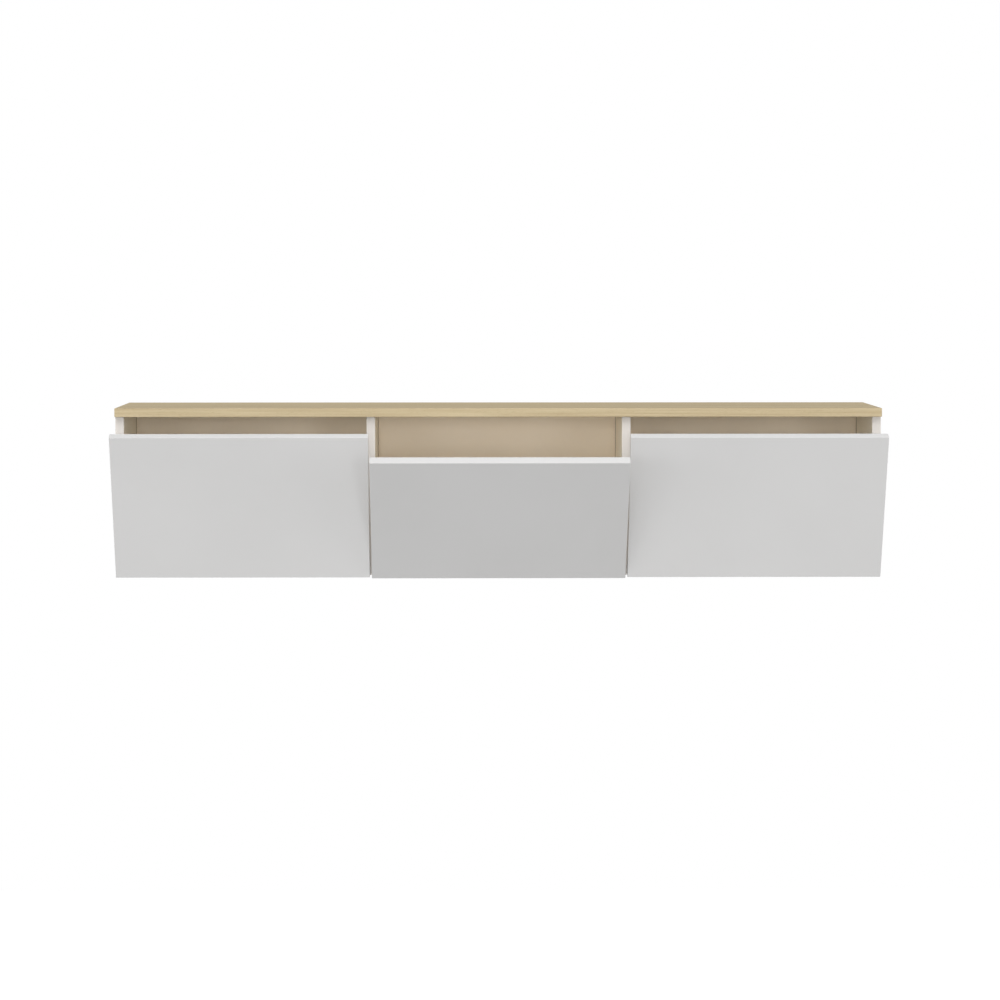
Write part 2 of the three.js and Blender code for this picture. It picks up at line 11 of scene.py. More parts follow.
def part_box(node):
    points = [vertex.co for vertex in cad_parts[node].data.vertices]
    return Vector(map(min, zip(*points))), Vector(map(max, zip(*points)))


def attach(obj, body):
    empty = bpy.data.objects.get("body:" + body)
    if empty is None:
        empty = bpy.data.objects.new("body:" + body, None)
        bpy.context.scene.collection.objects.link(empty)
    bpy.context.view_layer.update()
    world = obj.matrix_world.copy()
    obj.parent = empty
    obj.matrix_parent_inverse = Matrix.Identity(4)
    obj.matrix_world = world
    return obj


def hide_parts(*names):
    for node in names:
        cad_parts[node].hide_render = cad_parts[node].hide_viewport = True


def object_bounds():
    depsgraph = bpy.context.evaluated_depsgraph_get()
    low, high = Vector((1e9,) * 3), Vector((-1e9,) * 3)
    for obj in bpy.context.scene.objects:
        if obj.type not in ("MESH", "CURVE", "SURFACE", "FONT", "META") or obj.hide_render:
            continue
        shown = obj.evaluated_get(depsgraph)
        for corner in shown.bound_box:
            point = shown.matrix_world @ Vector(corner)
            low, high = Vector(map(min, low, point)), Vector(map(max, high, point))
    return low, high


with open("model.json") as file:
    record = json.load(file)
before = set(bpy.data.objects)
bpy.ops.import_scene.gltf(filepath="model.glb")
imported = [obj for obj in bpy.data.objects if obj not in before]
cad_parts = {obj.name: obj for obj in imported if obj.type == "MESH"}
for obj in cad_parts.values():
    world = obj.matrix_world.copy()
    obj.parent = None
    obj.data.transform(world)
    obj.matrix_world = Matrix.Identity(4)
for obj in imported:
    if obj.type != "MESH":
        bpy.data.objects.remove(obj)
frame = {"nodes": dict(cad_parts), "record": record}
cad_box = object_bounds()

MM = 0.001
BAYS = ("left", "middle", "right")
SIDES = ("left", "right")

# The photograph's camera, fitted to the console's edges: metres, degrees and pixels
CAMERA_PLACE = (-0.0962, -7.6700, 0.3562)
CAMERA_TURN = 0.773
CAMERA_DIP = 3.6513
FOCAL_PIXELS = 3519.5
IMAGE_PIXELS = 1000
SENSOR_WIDTH = 36.0

# Light at a plain level: all of it shows a surface that faces the camera about in its own colour.
# The lamps stand at these heights and sides, and look this wide, in degrees.
SKY_STRENGTH = 0.40
SUNS = {
    "top_light": {"strength": 0.215, "height": 60.0, "side": 0.0, "spread": 40.0},
    "high_light": {"strength": 0.250, "height": 38.0, "side": -6.0, "spread": 30.0},
    "raised_front_light": {"strength": 0.070, "height": 26.0, "side": 0.0, "spread": 16.0},
    "upper_front_light": {"strength": 0.030, "height": 8.0, "side": 0.0, "spread": 8.0},
    "front_light": {"strength": 0.092, "height": 3.0, "side": 0.0, "spread": 8.0},
    "low_front_light": {"strength": 0.035, "height": -4.0, "side": 0.0, "spread": 6.0},
    "left_front_light": {"strength": 0.037, "height": 3.0, "side": -22.0, "spread": 10.0},
    "right_front_light": {"strength": 0.071, "height": 3.0, "side": 22.0, "spread": 10.0},
    "left_light": {"strength": 0.110, "height": 3.0, "side": -46.0, "spread": 20.0},
    "far_left_light": {"strength": 0.120, "height": 3.0, "side": -70.0, "spread": 24.0},
    "far_right_light": {"strength": 0.174, "height": 3.0, "side": 70.0, "spread": 24.0},
}

# The floor: metres below the console and across, and how bright it is
FLOOR_DROP = 6.0
FLOOR_SIZE = 60.0
FLOOR_COLOUR = 0.45
FLOOR_SEEN_SHARE = 0.20
FLOOR_SEEN_GLOW = 0.93

# How round shapes are drawn: degrees, millimetres and numbers of sides
SMOOTH_ANGLE = 21.0
MERGE_DISTANCE = 0.001
TURNED_SIDES = 48
WIDE_TURNED_SIDES = 72
SMALL_SIDES = 24

# Screw heads: millimetres, and the share of a cross recess's size that its floor keeps
SCREW_HEAD_RADIUS = 3.85
SCREW_FOOT_RADIUS = 2.0
SCREW_RIM = 0.15
SCREW_RIM_DEPTH = 0.12
SCREW_SUNK = 0.08
SHEET_SCREW_DEPTH = 1.05
PLATE_SCREW_DEPTH = 1.75
CROSS_REACH = 2.1
CROSS_HALF_WIDTH = 0.42
CROSS_DEPTH = 0.85
CROSS_TAPER = 0.6
BRAKE_CROSS = {"depth": 0.7}
STRIKE_CROSS = {"reach": 1.6, "half": 0.35, "depth": 0.5}
HANGER_CROSS = {"reach": 2.9, "half": 0.5, "depth": 1.4}

# Fittings, in millimetres. Flap places are drawn on the closed flap, about its hinge axis.
SEAT_GAP = 0.3
FLAP_INNER_FACE = 5.5
FLAP_TOP = 324.3
FLAP_LEAF_SCREWS = (16.0, 34.0)
BASE_LEAF_TOP = -250.5
BASE_LEAF_SCREW_DEPTH = -299.6
BASE_LEAF_SCREW_SIDE = 13.0
WALL_PLATE_OUT = 2.3
STAY_MOUNT_SCREW_SIDE = 15.0
BRACKET_SCREW_OUT = 28.4
BRACKET_FACE = 7.8
BRACKET_SCREW_SIDE = 13.0
LATCH_SCREW_DEPTH = -287.0
LATCH_SCREW_SIDE = 12.5
HANGER_SCREW_DEPTH = -17.75
HANGER_SCREW_SIDE = 24.0
HINGE_PIN_HALF = 17.3
ROD_OUT = 14.4
BLOCK_FACE_OUT = 20.5
BUMPER_SIDE = 261.4
BUMPER_DROP = 7.0
CAP_END_MARGIN = 34.0
CAP_DEPTH_MARGIN = 45.0

# The hanger screw's thread: millimetres, and the number of its rings
THREAD_TOP = -5.0
THREAD_STEP = 0.5
THREAD_RINGS = 27
THREAD_CREST = 2.5
THREAD_ROOT = 2.15

# Outlines of turned shapes, in pairs of radius and height
HINGE_PIN_END = [(0, 0), (0.8, 0.1), (1.3, 0.3), (1.5, 0.6)]
ROD_OUTLINE = [
    (0, 4.5), (3.0, 4.5), (3.0, 213.65), (3.2, 213.65), (4.1, 213.65), (4.5, 214.05),
    (4.5, 217.15), (4.0, 217.65), (0, 217.65)]
ROD_EYE_OUTLINE = [
    (2.85, -2.9), (3.15, -3.2), (6.0, -3.2), (6.5, -2.7), (6.5, 2.7), (6.0, 3.2), (3.15, 3.2),
    (2.85, 2.9)]
BRAKE_SCREW_OUTLINE = [(2.9, 0.35), (3.2, 0.15), (3.2, -0.5)]
PLUNGER_OUTLINE = [
    (0, 0), (2.2, 0), (2.9, 0.15), (3.5, 0.6), (3.7, 1.2), (3.7, 1.9), (3.4, 2.0), (3.4, 2.3),
    (3.7, 2.4), (4.0, 2.7)]
COLLAR_OUTLINE = [(4.45, 0.5), (4.45, -0.9), (4.75, -1.2), (5.5, -1.2), (5.9, -0.8), (5.9, 0.5)]
STRIKE_OUTLINE = [
    (0, 0.05), (6.5, 0.05), (6.8, 0.3), (6.8, 0.85), (6.45, 1.2), (3.2, 1.2), (2.9, 0.5), (0, 0.5)]
STRIKE_SCREW_OUTLINE = [(2.6, 1.1), (2.75, 0.95), (2.75, 0.4)]
BUMPER_OUTLINE = [(0, 1.7), (1.2, 1.6), (2.1, 1.3), (2.7, 0.8), (3.0, 0.2), (3.0, 0), (0, 0)]
GROMMET_OUTLINE = [
    (27.0, -1.3), (27.5, -1.75), (28.4, -1.9), (32.6, -1.9), (33.6, -1.5), (34.0, -0.8),
    (34.0, -0.3), (29.4, -0.3), (29.4, 8.2), (28.9, 8.7), (27.3, 8.7), (27.0, 8.4)]
HANGER_SCREW_HEAD = [(4.1, 0), (4.5, -0.4), (4.5, -2.7), (4.2, -3.0), (2.5, -3.0)]
HANGER_SCREW_FOOT = [(1.8, -19)]
CAP_OUTLINE = [(0, 0.6), (5.6, 0.6), (6.3, 0.35), (6.5, 0), (0, 0)]
WIDE_CAP_OUTLINE = [(0, 0.7), (7.4, 0.7), (8.2, 0.4), (8.5, 0), (0, 0)]


# Node trees
def feed(tree, socket, value):
    if isinstance(value, bpy.types.NodeSocket):
        tree.links.new(value, socket)
    else:
        socket.default_value = value


def add_node(tree, kind, inputs=None, **settings):
    node = tree.nodes.new(kind)
    for name, value in settings.items():
        setattr(node, name, value)
    for name, value in (inputs or {}).items():
        feed(tree, node.inputs[name], value)
    return node


def object_place(tree):
    return add_node(tree, "ShaderNodeTexCoord").outputs["Object"]


def stretched(tree, place, sizes):
    """The place measured in cells of these sizes along X, Y and Z."""
    scale = [1 / size for size in sizes]
    return add_node(tree, "ShaderNodeMapping", {"Vector": place, "Scale": scale}).outputs["Vector"]


def noise(tree, place, sizes, detail=2.0, roughness=0.5, distortion=0.0):
    """Noise from 0 to 1 whose cells have these sizes in metres."""
    return add_node(tree, "ShaderNodeTexNoise", {
        "Vector": stretched(tree, place, sizes), "Scale": 1.0, "Detail": detail,
        "Roughness": roughness, "Distortion": distortion}).outputs[0]


def math_node(tree, operation, first, second=0.0):
    node = add_node(tree, "ShaderNodeMath", {0: first, 1: second}, operation=operation)
    return node.outputs[0]


def to_range(tree, value, from_low, from_high, to_low=0.0, to_high=1.0):
    return add_node(tree, "ShaderNodeMapRange", {
        "Value": value, "From Min": from_low, "From Max": from_high,
        "To Min": to_low, "To Max": to_high}).outputs[0]


def mix_colours(tree, share, first, second):
    node = add_node(tree, "ShaderNodeMix", data_type="RGBA")
    for index, value in ((0, share), (6, first), (7, second)):
        feed(tree, node.inputs[index], value)
    return node.outputs[2]


def mix_places(tree, share, first, second):
    node = add_node(tree, "ShaderNodeMix", data_type="VECTOR")
    for index, value in ((0, share), (4, first), (5, second)):
        feed(tree, node.inputs[index], value)
    return node.outputs[1]


def bump(tree, height, depth, below=None):
    inputs = {"Height": height, "Distance": depth, "Strength": 1.0}
    if below is not None:
        inputs["Normal"] = below
    return add_node(tree, "ShaderNodeBump", inputs).outputs["Normal"]


def colour(red, green, blue):
    return (red, green, blue, 1.0)


def new_finish(name, **values):
    """A material with a Principled shader, whose plain values are set on its own sockets."""
    material = bpy.data.materials.new(name)
    material.use_nodes = True
    tree = material.node_tree
    shader = tree.nodes["Principled BSDF"]
    for socket, value in values.items():
        shader.inputs[socket.replace("_", " ")].default_value = value
    return material, tree, shader


# Finishes
def oak_decor():
    """Oak decor: long streaks, fine fibres and short dark pores, along the board's length."""
    light = colour(0.580, 0.484, 0.315)
    dark = colour(0.471, 0.378, 0.232)
    pore_colour = colour(0.310, 0.217, 0.116)
    end_facing = 0.7
    material, tree, shader = new_finish("oak_decor", IOR=1.45, Specular_IOR_Level=0.12)
    place = object_place(tree)
    normal = add_node(tree, "ShaderNodeTexCoord").outputs["Normal"]
    across = add_node(tree, "ShaderNodeSeparateXYZ", {0: normal}).outputs["X"]
    is_end = math_node(tree, "GREATER_THAN", math_node(tree, "ABSOLUTE", across), end_facing)
    parts = add_node(tree, "ShaderNodeSeparateXYZ", {0: place})
    swapped = add_node(tree, "ShaderNodeCombineXYZ", {
        "X": parts.outputs["Y"], "Y": parts.outputs["X"], "Z": parts.outputs["Z"]}).outputs[0]
    along = mix_places(tree, is_end, place, swapped)
    broad = noise(tree, along, (0.90, 0.030, 0.030), detail=3.0, distortion=0.6)
    streak = noise(tree, along, (0.32, 0.0042, 0.0042), detail=4.0, roughness=0.55)
    fibre = noise(tree, along, (0.030, 0.0007, 0.0007), detail=3.0)
    pores = noise(tree, along, (0.009, 0.00045, 0.00045), detail=1.0)
    depth = to_range(tree, broad, 0.30, 0.72, 0.0, 0.45)
    depth = math_node(tree, "ADD", depth, to_range(tree, streak, 0.34, 0.70, -0.15, 0.75))
    depth = math_node(tree, "ADD", depth, to_range(tree, fibre, 0.30, 0.70, -0.08, 0.12))
    wood = mix_colours(tree, depth, light, dark)
    pore_share = to_range(tree, pores, 0.62, 0.74, 0.0, 0.45)
    feed(tree, shader.inputs["Base Color"], mix_colours(tree, pore_share, wood, pore_colour))
    feed(tree, shader.inputs["Roughness"], to_range(tree, fibre, 0.2, 0.8, 0.72, 0.84))
    relief = math_node(tree, "SUBTRACT", fibre, pore_share)
    feed(tree, shader.inputs["Normal"], bump(tree, relief, 0.05 * MM))
    return material


def white_board(front, rear, outer_side, underside):
    """Melamine-faced board: off-white, painted creamier and brighter inside the bays with warm bounce
    light, and whiter on the outer faces and edge bands.
    """
    # The inside colour is painted warm bounce light: an off-white board made creamier and brighter than
    # its outer faces.
    painted_bounce_colour = colour(0.970, 0.905, 0.770)
    shade = colour(0.935, 0.870, 0.740)
    white = colour(0.702, 0.665, 0.624)
    white_shade = colour(0.675, 0.638, 0.598)
    line_colour = colour(0.580, 0.530, 0.450)
    band_thickness = 1.0 * MM
    hairline = 0.12 * MM
    material, tree, shader = new_finish("white_board", IOR=1.45)
    place = object_place(tree)
    mottle = noise(tree, place, (0.15, 0.15, 0.15), detail=3.0)
    skin = noise(tree, place, (0.0009, 0.0009, 0.0009), detail=2.0)
    parts = add_node(tree, "ShaderNodeSeparateXYZ", {0: place}).outputs
    behind = math_node(tree, "SUBTRACT", parts["Y"], front + band_thickness)
    on_line = math_node(tree, "LESS_THAN", math_node(tree, "ABSOLUTE", behind), hairline)
    is_band = math_node(tree, "MAXIMUM", math_node(tree, "LESS_THAN", behind, 0.0),
                        math_node(tree, "GREATER_THAN", parts["Y"], rear - band_thickness))
    is_side = math_node(tree, "GREATER_THAN", math_node(tree, "ABSOLUTE", parts["X"]), outer_side)
    is_under = math_node(tree, "LESS_THAN", parts["Z"], underside)
    is_outer = math_node(tree, "MAXIMUM", is_band, math_node(tree, "MAXIMUM", is_side, is_under))
    cloud = to_range(tree, mottle, 0.35, 0.75, 0.0, 0.35)
    face = mix_colours(tree, cloud, painted_bounce_colour, shade)
    outside = mix_colours(tree, cloud, white, white_shade)
    base = mix_colours(tree, is_outer, face, outside)
    feed(tree, shader.inputs["Base Color"], mix_colours(tree, on_line, base, line_colour))
    feed(tree, shader.inputs["Roughness"], to_range(tree, mottle, 0.2, 0.8, 0.42, 0.52))
    feed(tree, shader.inputs["Normal"], bump(tree, skin, 0.015 * MM))
    return material


def back_board(walls, middle_depth):
    """Thin fibreboard: off-white with painted warm bounce light in front, whiter behind, and painted
    shade along the corners at the bays' walls.
    """
    # The front's cream is painted warm bounce light on an off-white board.
    painted_bounce_colour = colour(0.965, 0.850, 0.690)
    shade = colour(0.930, 0.813, 0.655)
    white = colour(0.810, 0.800, 0.780)
    white_shade = colour(0.770, 0.758, 0.736)
    # A painted shadow: a dark line where the back meets the bays' walls, standing in for the shade in
    # that corner crease.
    joint_shadow_colour = colour(0.330, 0.270, 0.200)
    joint_shadow_reach = 1.1 * MM
    joint_shadow_core = 0.7 * joint_shadow_reach
    material, tree, shader = new_finish("back_board", IOR=1.45)
    place = object_place(tree)
    mottle = noise(tree, place, (0.15, 0.15, 0.15), detail=3.0)
    skin = noise(tree, place, (0.0009, 0.0009, 0.0009), detail=2.0)
    parts = add_node(tree, "ShaderNodeSeparateXYZ", {0: place}).outputs
    is_rear = math_node(tree, "GREATER_THAN", parts["Y"], middle_depth)
    nearest = None
    for wall in walls:
        away = math_node(tree, "ABSOLUTE", math_node(tree, "SUBTRACT", parts["X"], wall))
        nearest = away if nearest is None else math_node(tree, "MINIMUM", nearest, away)
    in_joint_shadow = to_range(tree, nearest, joint_shadow_reach, joint_shadow_core)
    cloud = to_range(tree, mottle, 0.35, 0.75, 0.0, 0.35)
    front = mix_colours(tree, in_joint_shadow, mix_colours(tree, cloud, painted_bounce_colour, shade), joint_shadow_colour)
    rear = mix_colours(tree, cloud, white, white_shade)
    feed(tree, shader.inputs["Base Color"], mix_colours(tree, is_rear, front, rear))
    feed(tree, shader.inputs["Roughness"], to_range(tree, mottle, 0.2, 0.8, 0.42, 0.52))
    feed(tree, shader.inputs["Normal"], bump(tree, skin, 0.015 * MM))
    return material


def lacquer():
    """Matt white lacquer, rolled smooth, with the faint orange peel of a sprayed coat."""
    light = colour(0.650, 0.646, 0.642)
    dark = colour(0.633, 0.629, 0.624)
    material, tree, shader = new_finish("white_lacquer", IOR=1.48)
    place = object_place(tree)
    cloud = noise(tree, place, (0.20, 0.20, 0.20), detail=3.0)
    peel = noise(tree, place, (0.0016, 0.0016, 0.0016), detail=2.0)
    feed(tree, shader.inputs["Base Color"],
         mix_colours(tree, to_range(tree, cloud, 0.3, 0.7), light, dark))
    feed(tree, shader.inputs["Roughness"], to_range(tree, cloud, 0.2, 0.8, 0.36, 0.44))
    feed(tree, shader.inputs["Normal"], bump(tree, peel, 0.012 * MM))
    return material


def plastic():
    """Moulded white plastic with a fine spark-eroded texture."""
    dark = colour(0.740, 0.740, 0.730)
    light = colour(0.790, 0.790, 0.780)
    material, tree, shader = new_finish("white_plastic", IOR=1.50)
    place = object_place(tree)
    grit = noise(tree, place, (0.0005, 0.0005, 0.0005), detail=2.0)
    flow = noise(tree, place, (0.02, 0.02, 0.02), detail=2.0)
    feed(tree, shader.inputs["Base Color"], mix_colours(tree, flow, dark, light))
    feed(tree, shader.inputs["Roughness"], to_range(tree, grit, 0.2, 0.8, 0.40, 0.55))
    feed(tree, shader.inputs["Normal"], bump(tree, grit, 0.02 * MM))
    return material


def metal(name, bright, dull, rough_low, rough_high, grain_sizes):
    """Plated metal: patchy brightness, and a drawn or cast grain in its gloss and relief."""
    material, tree, shader = new_finish(name, Metallic=1.0)
    place = object_place(tree)
    patches = noise(tree, place, (0.012, 0.012, 0.012), detail=4.0)
    grain = noise(tree, place, grain_sizes, detail=3.0)
    feed(tree, shader.inputs["Base Color"], mix_colours(
        tree, to_range(tree, patches, 0.3, 0.7), bright, dull))
    feed(tree, shader.inputs["Roughness"], to_range(tree, grain, 0.25, 0.75, rough_low, rough_high))
    feed(tree, shader.inputs["Normal"], bump(tree, grain, 0.008 * MM))
    return material


def dress(node, material):
    """Gives a node its finish, and shades its shallow facets as round."""
    piece = frame["nodes"][node]
    piece.data.materials.clear()
    piece.data.materials.append(material)
    modifier = piece.modifiers.new("smooth_facets", "NODES")
    modifier.node_group = smooth_facets


# Shapes are drawn in millimetres about +Z, and then put in their places.
def facing(place, direction):
    """Takes a shape's origin to the place, and its +Z to the direction."""
    turn = Vector(direction).to_track_quat("Z", "Y").to_matrix().to_4x4()
    return Matrix.Translation(place) @ turn


def ring(shape, radius, height, sides):
    if radius == 0:
        return [shape.verts.new((0, 0, height))]
    turns = [2 * math.pi * index / sides for index in range(sides)]
    return [shape.verts.new((radius * math.cos(turn), radius * math.sin(turn), height))
            for turn in turns]


def join_rings(shape, first, second):
    for index in range(max(len(first), len(second))):
        corners = [first[index % len(first)], first[(index + 1) % len(first)],
                   second[(index + 1) % len(second)], second[index % len(second)]]
        shape.faces.new(list(dict.fromkeys(corners)))


def turned(profile, hollow=False, sides=TURNED_SIDES):
    """A turned shape from pairs of radius and height. A hollow one's outline closes on itself."""
    shape = bmesh.new()
    rings = [ring(shape, radius, height, sides) for radius, height in profile]
    for first, second in zip(rings, rings[1:]):
        join_rings(shape, first, second)
    if hollow:
        join_rings(shape, rings[-1], rings[0])
    bmesh.ops.recalc_face_normals(shape, faces=shape.faces)
    return shape


def cross_outline(reach, half):
    arm = [(reach, -half), (reach, half), (half, half)]
    outline = []
    for _ in range(4):
        outline += arm
        arm = [(-y, x) for x, y in arm]
    return outline


def cross_screw(profile, reach=CROSS_REACH, half=CROSS_HALF_WIDTH, depth=CROSS_DEPTH):
    """A screw turned from its face's rim down to its foot, with a cross recess in its face."""
    shape = bmesh.new()
    rings = [ring(shape, radius, height, SMALL_SIDES) for radius, height in profile]
    face_height = profile[0][1]
    outline = cross_outline(reach, half)
    mouth = [shape.verts.new((x, y, face_height)) for x, y in outline]
    floor = [shape.verts.new((CROSS_TAPER * x, CROSS_TAPER * y, face_height - depth))
             for x, y in outline]
    for first, second in zip(rings, rings[1:]):
        join_rings(shape, first, second)
    join_rings(shape, mouth, floor)
    shape.faces.new(rings[-1])
    shape.faces.new(floor)
    loops = [(loop[index - 1], loop[index])
             for loop in (rings[0], mouth) for index in range(len(loop))]
    bmesh.ops.triangle_fill(
        shape, edges=[shape.edges.get(pair) for pair in loops], use_beauty=True)
    bmesh.ops.recalc_face_normals(shape, faces=shape.faces)
    return shape


def flush_screw(depth):
    """A countersunk screw's head, sunk a little below the sheet that it holds."""
    return cross_screw([
        (SCREW_HEAD_RADIUS - SCREW_RIM, -SCREW_SUNK),
        (SCREW_HEAD_RADIUS, -SCREW_SUNK - SCREW_RIM_DEPTH),
        (SCREW_FOOT_RADIUS, -depth)])


def add_piece(name, body, finish, parts, stands_for=()):
    """A piece that rides a body, from pairs of a shape and the places that it is copied to."""
    whole = bmesh.new()
    for shape, places in parts:
        pattern = bpy.data.meshes.new("pattern")
        shape.to_mesh(pattern)
        for place in places:
            start = len(whole.verts)
            whole.from_mesh(pattern)
            whole.verts.ensure_lookup_table()
            bmesh.ops.transform(whole, matrix=place, verts=whole.verts[start:])
        shape.free()
        bpy.data.meshes.remove(pattern)
    bmesh.ops.scale(whole, vec=(MM, MM, MM), verts=whole.verts)
    mesh = bpy.data.meshes.new(name)
    whole.to_mesh(mesh)
    whole.free()
    mesh.shade_smooth()
    mesh.set_sharp_from_angle(angle=math.radians(SMOOTH_ANGLE))
    mesh.materials.append(finishes[finish])
    piece = bpy.data.objects.new(name, mesh)
    bpy.context.scene.collection.objects.link(piece)
    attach(piece, body)
    if stands_for:
        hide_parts(*stands_for)


def smooth_facets_group():
    """Joins a node's facets, and shades as round those that meet at a shallow angle."""
    group = bpy.data.node_groups.new("smooth_facets", "GeometryNodeTree")
    group.interface.new_socket("Geometry", in_out="INPUT", socket_type="NodeSocketGeometry")
    group.interface.new_socket("Geometry", in_out="OUTPUT", socket_type="NodeSocketGeometry")
    whole = add_node(group, "NodeGroupInput").outputs[0]
    joined = add_node(group, "GeometryNodeMergeByDistance", {
        "Geometry": whole, "Distance": MERGE_DISTANCE * MM}).outputs["Geometry"]
    rounded = add_node(group, "GeometryNodeSetShadeSmooth", {
        "Geometry": joined}, domain="FACE").outputs["Geometry"]
    angle = add_node(group, "GeometryNodeInputMeshEdgeAngle").outputs["Unsigned Angle"]
    is_sharp = math_node(group, "GREATER_THAN", angle, math.radians(SMOOTH_ANGLE))
    edged = add_node(group, "GeometryNodeSetShadeSmooth", {
        "Geometry": rounded, "Selection": is_sharp, "Shade Smooth": False}, domain="EDGE")
    add_node(group, "NodeGroupOutput", {"Geometry": edged.outputs["Geometry"]})
    return group


# Places on the part, in millimetres
def middle(node):
    low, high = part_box(node)
    return (Vector(low) + Vector(high)) / 2 / MM


def joint_named(name):
    return next(joint for joint in frame["record"]["behaviour"]["joints"] if joint["name"] == name)


def joint_place(name):
    return Vector(joint_named(name)["pos_m"]) / MM


def flap_frame(bay):
    """From the closed flap, drawn about its hinge axis, to the part at rest."""
    opening = -joint_named(f"{bay}_flap_hinge")["range_deg"][0]
    turn = Matrix.Rotation(math.radians(opening), 4, "X")
    return Matrix.Translation(joint_place(f"{bay}_flap_hinge")) @ turn


def stay_wall(bay):
    """The wall that the stay is fixed to, and the way from it into the bay."""
    wall = joint_place(f"{bay}_stay_swivel_pivot").x
    return wall, math.copysign(1, middle(f"{bay}_stay_mount").x - wall)


def latch_wall(bay):
    """The wall that the latch is fixed to, and the way from it into the bay."""
    _, away = stay_wall(bay)
    low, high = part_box(f"{bay}_latch_housing")
    near = (high.x if away > 0 else low.x) / MM
    return near + away * SEAT_GAP, -away


def bay_walls():
    """Where the bays' walls stand along X, in metres."""
    dividers = [corner.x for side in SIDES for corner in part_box(f"{side}_divider")]
    return [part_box("left_side_panel")[1].x, *dividers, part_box("right_side_panel")[0].x]


finishes = {
    "oak_decor": oak_decor(),
    "white_board": white_board(
        front=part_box("left_side_panel")[0].y, rear=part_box("left_side_panel")[1].y,
        outer_side=abs(middle("left_side_panel").x) * MM, underside=middle("bottom_panel").z * MM),
    "back_board": back_board(bay_walls(), middle("back_panel").y * MM),
    "white_front": lacquer(),
    "white_plastic": plastic(),
    "steel": metal("zinc_plated_steel", colour(0.66, 0.67, 0.69), colour(0.56, 0.57, 0.60),
                   0.22, 0.38, (0.004, 0.0002, 0.0002)),
    "zinc": metal("nickel_plated_zinc", colour(0.60, 0.60, 0.59), colour(0.50, 0.50, 0.50),
                  0.34, 0.50, (0.0006, 0.0006, 0.0006)),
}
smooth_facets = smooth_facets_group()
for part in frame["record"]["subparts"]:
    dress(part["node"], finishes[part["material_slot"]])


# Fasteners and finer pieces
def add_screws(bay):
    """The wood screws of a bay's hinges, stay and latch, on the flap and in the bay."""
    on_flap = flap_frame(bay)
    flap_x = on_flap.translation.x
    hinges = [middle(f"{bay}_flap_{side}_hinge_pin").x for side in SIDES]
    leaf = [on_flap @ facing((x - flap_x, FLAP_INNER_FACE, height), (0, 1, 0))
            for x in hinges for height in FLAP_LEAF_SCREWS]
    stay_x, stay_in = stay_wall(bay)
    bracket_x = stay_x + stay_in * BRACKET_SCREW_OUT - flap_x
    bracket_z = (on_flap.inverted() @ joint_place(f"{bay}_stay_rod_pivot")).z
    bracket = [on_flap @ facing(
        (bracket_x, BRACKET_FACE, bracket_z + end * BRACKET_SCREW_SIDE), (0, 1, 0)) for end in (-1, 1)]
    add_piece(f"{bay}_flap_screws", f"{bay}_front", "steel", [
        (flush_screw(SHEET_SCREW_DEPTH), leaf), (flush_screw(PLATE_SCREW_DEPTH), bracket)])

    base = [facing((x + end * BASE_LEAF_SCREW_SIDE, BASE_LEAF_SCREW_DEPTH, BASE_LEAF_TOP), (0, 0, 1))
            for x in hinges for end in (-1, 1)]
    pivot = joint_place(f"{bay}_stay_swivel_pivot")
    mount = [facing((stay_x + stay_in * WALL_PLATE_OUT, pivot.y + end * STAY_MOUNT_SCREW_SIDE, pivot.z),
                    (stay_in, 0, 0)) for end in (-1, 1)]
    latch_x, latch_in = latch_wall(bay)
    latch_z = middle(f"{bay}_latch_housing").z
    latch = [facing((latch_x + latch_in * WALL_PLATE_OUT, LATCH_SCREW_DEPTH,
                     latch_z + end * LATCH_SCREW_SIDE), (latch_in, 0, 0)) for end in (-1, 1)]
    add_piece(f"{bay}_bay_screws", "carcass", "steel", [
        (flush_screw(SHEET_SCREW_DEPTH), base), (flush_screw(PLATE_SCREW_DEPTH), mount + latch)])


def add_hinge_pins(bay):
    """Smooth pins whose ends are slightly domed."""
    nodes = [f"{bay}_flap_{side}_hinge_pin" for side in SIDES]
    dome = [(radius, height - HINGE_PIN_HALF) for radius, height in HINGE_PIN_END]
    profile = dome + [(radius, -height) for radius, height in reversed(dome)]
    places = [facing(middle(node), (1, 0, 0)) for node in nodes]
    add_piece(f"{bay}_smooth_hinge_pins", "carcass", "steel", [(turned(profile), places)], nodes)


def add_rod(bay):
    """The stay's rod: a turned bar with its stop collar, and the eye that the bracket's pin holds."""
    eye = joint_place(f"{bay}_stay_rod_pivot")
    along = joint_place(f"{bay}_stay_swivel_pivot") - eye
    wall, inward = stay_wall(bay)
    eye.x = wall + inward * ROD_OUT
    along.x = 0
    add_piece(f"{bay}_smooth_stay_rod", f"{bay}_stay_slider", "steel", [
        (turned(ROD_OUTLINE), [facing(eye, along)]),
        (turned(ROD_EYE_OUTLINE, hollow=True), [facing(eye, (1, 0, 0))])], [f"{bay}_stay_rod"])


def add_brake_screw(bay):
    """The screw that sets the brake, in the face of the swivelling block."""
    wall, inward = stay_wall(bay)
    place = joint_place(f"{bay}_stay_swivel_pivot")
    place.x = wall + inward * BLOCK_FACE_OUT
    screw = cross_screw(BRAKE_SCREW_OUTLINE, **BRAKE_CROSS)
    add_piece(f"{bay}_brake_screw", f"{bay}_stay_swivel", "zinc", [
        (screw, [facing(place, (inward, 0, 0))])])


